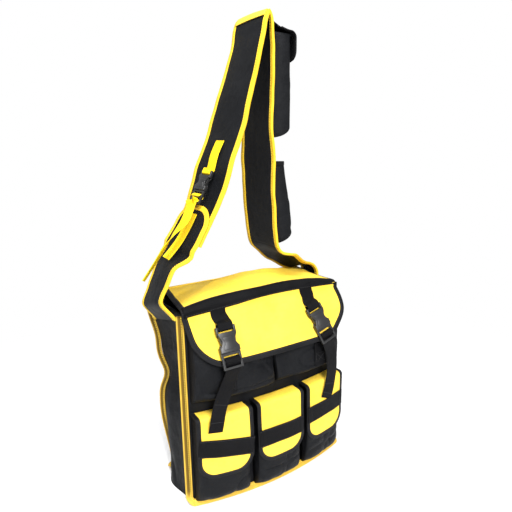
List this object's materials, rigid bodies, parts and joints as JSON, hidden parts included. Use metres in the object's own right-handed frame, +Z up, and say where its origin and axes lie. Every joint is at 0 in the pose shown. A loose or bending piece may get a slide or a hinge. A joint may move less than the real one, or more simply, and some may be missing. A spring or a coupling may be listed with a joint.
{
  "type": "fishing tackle bag",
  "caption": "Black and yellow fishing tackle bag with buckled flap, flapped bellows pockets, bound seams and a wide lapped shoulder strap that carries small pouches",
  "frame": {"origin": "Centre of the bag's base, on the surface the bag stands on; the bag's depth is centred on Y", "axes": "+Z up, -Y out of the front with the flap and pockets, +X to the right seen from the front"},
  "size_m": [0.4074, 0.1926, 0.9053],
  "materials": {
    "black_cloth": "coated woven polyester, matt black",
    "yellow_cloth": "woven polyester, bright yellow",
    "yellow_tape": "folded yellow binding tape, stitched",
    "black_webbing": "black polypropylene webbing and edging tape",
    "yellow_webbing": "yellow polypropylene webbing",
    "buckle_plastic": "moulded dark grey plastic, half matt",
    "hook_tape": "black hook tape"
  },
  "bodies": {
    "bag": {"front_panel": "black_cloth", "back_panel": "black_cloth", "left_gusset": "black_cloth", "right_gusset": "black_cloth", "bottom_panel": "black_cloth", "front_binding": "yellow_tape", "back_binding": "yellow_tape", "left_pocket": "black_cloth", "middle_pocket": "black_cloth", "right_pocket": "black_cloth", "upper_left_pocket": "black_cloth", "upper_right_pocket": "black_cloth", "left_anchor_web": "black_webbing", "right_anchor_web": "black_webbing"},
    "flap_top_body": {"flap_top": "yellow_cloth", "fold_band": "black_webbing", "left_strap_foot": "black_cloth", "right_strap_foot": "black_cloth"},
    "flap_front_body": {"flap_front": "yellow_cloth", "flap_front_edging": "black_webbing", "left_flap_strap": "black_webbing", "right_flap_strap": "black_webbing", "left_buckle_female": "buckle_plastic", "right_buckle_female": "buckle_plastic"},
    "strap_body": {"strap_long_half": "black_cloth", "strap_front_binding": "yellow_tape", "strap_back_binding": "yellow_tape", "strap_short_half": "black_cloth", "short_half_binding": "yellow_tape", "shoulder_patch": "yellow_cloth", "upper_pouch": "black_cloth", "lower_pouch": "black_cloth", "adjuster_upper_web": "yellow_webbing", "adjuster_lower_web": "yellow_webbing", "strap_buckle_female": "buckle_plastic"},
    "pouch_flap_body": {"upper_pouch_flap": "black_cloth"},
    "left_pocket_flap_body": {"left_pocket_flap": "yellow_cloth", "left_pocket_flap_edging": "black_webbing", "left_pocket_flap_band": "black_webbing", "left_pocket_hook_patch": "hook_tape"},
    "middle_pocket_flap_body": {"middle_pocket_flap": "yellow_cloth", "middle_pocket_flap_edging": "black_webbing", "middle_pocket_flap_band": "black_webbing", "middle_pocket_hook_patch": "hook_tape"},
    "right_pocket_flap_body": {"right_pocket_flap": "yellow_cloth", "right_pocket_flap_edging": "black_webbing", "right_pocket_flap_band": "black_webbing", "right_pocket_hook_patch": "hook_tape"},
    "left_male_body": {"left_buckle_male": "buckle_plastic", "left_tail": "black_webbing"},
    "left_arm_left_body": {"left_buckle_arm_left": "buckle_plastic"},
    "left_arm_right_body": {"left_buckle_arm_right": "buckle_plastic"},
    "right_male_body": {"right_buckle_male": "buckle_plastic", "right_tail": "black_webbing"},
    "right_arm_left_body": {"right_buckle_arm_left": "buckle_plastic"},
    "right_arm_right_body": {"right_buckle_arm_right": "buckle_plastic"},
    "strap_male_body": {"strap_buckle_male": "buckle_plastic", "adjuster_tail": "yellow_webbing"},
    "strap_arm_left_body": {"strap_buckle_arm_left": "buckle_plastic"},
    "strap_arm_right_body": {"strap_buckle_arm_right": "buckle_plastic"}
  },
  "joints": [
    {"name": "flap_lift", "type": "hinge", "parent": "bag", "child": "flap_top_body", "pos_m": [0, 0.0625, 0.397], "axis": [-1, 0, 0], "range_deg": [0, 105], "deforming": ["left_strap_foot", "right_strap_foot"]},
    {"name": "flap_fold", "type": "hinge", "parent": "flap_top_body", "child": "flap_front_body", "pos_m": [0, -0.07035, 0.374], "axis": [-1, 0, 0], "range_deg": [0, 120]},
    {"name": "strap_swing", "type": "hinge", "parent": "flap_top_body", "child": "strap_body", "pos_m": [0, 0.056, 0.47679], "axis": [-1, 0, 0], "range_deg": [0, 70]},
    {"name": "pouch_flap_lift", "type": "hinge", "parent": "strap_body", "child": "pouch_flap_body", "pos_m": [0.03054, 0, 0.8724], "axis": [0, -1, 0], "range_deg": [0, 80]},
    {"name": "left_pocket_lift", "type": "hinge", "parent": "bag", "child": "left_pocket_flap_body", "pos_m": [-0.119, -0.07264, 0.191], "axis": [-0.99, 0.1408, 0], "range_deg": [0, 60], "deforming": ["left_tail"]},
    {"name": "middle_pocket_lift", "type": "hinge", "parent": "bag", "child": "middle_pocket_flap_body", "pos_m": [0, -0.0811, 0.191], "axis": [-1, 0, 0], "range_deg": [0, 60]},
    {"name": "right_pocket_lift", "type": "hinge", "parent": "bag", "child": "right_pocket_flap_body", "pos_m": [0.119, -0.07264, 0.191], "axis": [-0.99, -0.1408, 0], "range_deg": [0, 60], "deforming": ["right_tail"]},
    {"name": "left_buckle_release", "type": "slide", "parent": "flap_front_body", "child": "left_male_body", "axis": [0, -0.4137, -0.9104], "range_m": [0, 0.0336]},
    {"name": "left_arm_left_squeeze", "type": "slide", "parent": "left_male_body", "child": "left_arm_left_body", "axis": [1, 0, 0], "range_m": [0, 0.00433]},
    {"name": "left_arm_right_squeeze", "type": "slide", "parent": "left_male_body", "child": "left_arm_right_body", "axis": [-1, 0, 0], "range_m": [0, 0.00433]},
    {"name": "right_buckle_release", "type": "slide", "parent": "flap_front_body", "child": "right_male_body", "axis": [0.2588, -0.3996, -0.8794], "range_m": [0, 0.0336]},
    {"name": "right_arm_left_squeeze", "type": "slide", "parent": "right_male_body", "child": "right_arm_left_body", "axis": [0.9659, 0.1071, 0.2356], "range_m": [0, 0.00433]},
    {"name": "right_arm_right_squeeze", "type": "slide", "parent": "right_male_body", "child": "right_arm_right_body", "axis": [-0.9659, -0.1071, -0.2356], "range_m": [0, 0.00433]},
    {"name": "strap_buckle_release", "type": "slide", "parent": "strap_body", "child": "strap_male_body", "axis": [-0.4864, -0.019, -0.8735], "range_m": [0, 0.0268]},
    {"name": "strap_arm_left_squeeze", "type": "slide", "parent": "strap_male_body", "child": "strap_arm_left_body", "axis": [-0.1343, 0.9895, 0.0532], "range_m": [0, 0.00429]},
    {"name": "strap_arm_right_squeeze", "type": "slide", "parent": "strap_male_body", "child": "strap_arm_right_body", "axis": [0.1343, -0.9895, -0.0532], "range_m": [0, 0.00429]}
  ],
  "couplings": [
    {"joint": "left_arm_left_squeeze", "follows": "left_buckle_release", "ratio": 0.12821},
    {"joint": "left_arm_right_squeeze", "follows": "left_buckle_release", "ratio": 0.12821},
    {"joint": "right_arm_left_squeeze", "follows": "right_buckle_release", "ratio": 0.12821},
    {"joint": "right_arm_right_squeeze", "follows": "right_buckle_release", "ratio": 0.12821},
    {"joint": "strap_arm_left_squeeze", "follows": "strap_buckle_release", "ratio": 0.15915},
    {"joint": "strap_arm_right_squeeze", "follows": "strap_buckle_release", "ratio": 0.15915}
  ]
}
